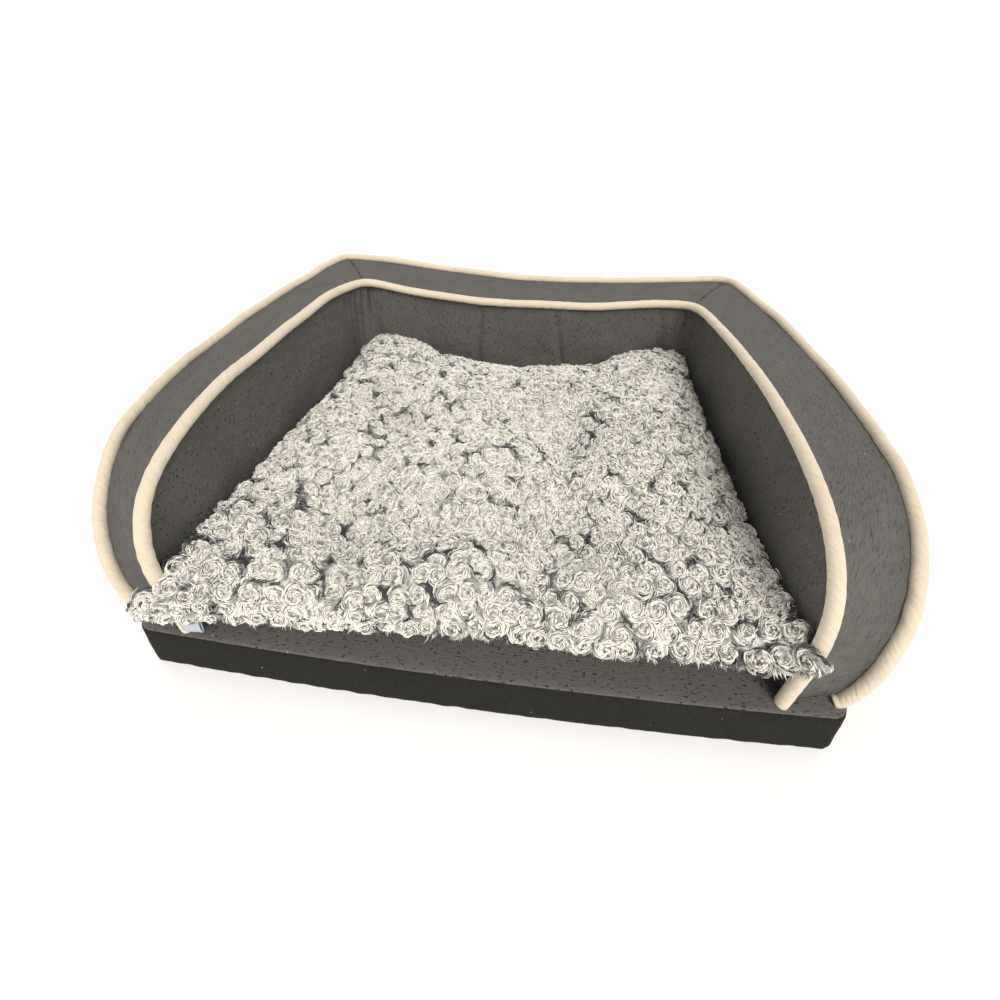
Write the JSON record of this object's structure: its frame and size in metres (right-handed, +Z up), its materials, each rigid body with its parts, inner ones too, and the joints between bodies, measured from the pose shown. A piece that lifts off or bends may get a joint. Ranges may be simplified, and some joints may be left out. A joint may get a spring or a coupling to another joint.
{
  "type": "pet bed",
  "caption": "Sofa-style pet bed with a padded base, a flared U-shaped bolster edged in piping, and a loose tufted plush cushion that lifts out.",
  "frame": {"origin": "middle of the base's underside, on the floor, half way between the base's straight sides and between its front corners and its back", "axes": "+Z up, +Y from the open front towards the back, +X to the right seen from the front"},
  "size_m": [0.9076, 0.773, 0.2757],
  "materials": {
    "slub_upholstery": "matt dark grey slub weave with black flecks",
    "underside_cloth": "matt black non-slip cloth",
    "foam": "cut foam",
    "fibre_fill": "polyester fibre",
    "cord_core": "twisted filler cord",
    "piping_suede": "cream brushed suede cloth",
    "rosette_plush": "cream-tipped grey rosette plush",
    "cushion_backing": "dark grey lining cloth",
    "thread": "twisted thread",
    "label_ribbon": "plain woven ribbon"
  },
  "bodies": {
    "bed": {"base_bottom_panel": "underside_cloth", "base_top_panel": "slub_upholstery", "base_foam": "foam", "base_gusset_front": "slub_upholstery", "base_gusset_back": "slub_upholstery", "base_gusset_left": "slub_upholstery", "base_gusset_right": "slub_upholstery", "bolster_fill_left": "fibre_fill", "inner_wall_left": "slub_upholstery", "top_band_left": "slub_upholstery", "outer_wall_left": "slub_upholstery", "bolster_fill_right": "fibre_fill", "inner_wall_right": "slub_upholstery", "top_band_right": "slub_upholstery", "outer_wall_right": "slub_upholstery", "bolster_fill_back": "fibre_fill", "inner_wall_back": "slub_upholstery", "top_band_back": "slub_upholstery", "outer_wall_back": "slub_upholstery", "inner_piping_cord": "cord_core", "inner_piping_cover": "piping_suede", "outer_piping_cord": "cord_core", "outer_piping_cover": "piping_suede"},
    "cushion": {"cushion_bottom_cover": "cushion_backing", "cushion_top_cover": "rosette_plush", "tuft_ties": "thread", "cushion_fill": "fibre_fill", "care_label": "label_ribbon"}
  },
  "joints": [
    {"name": "cushion_lift", "type": "slide", "parent": "bed", "child": "cushion", "axis": [0, 0, 1], "range_m": [0, 0.35]}
  ]
}
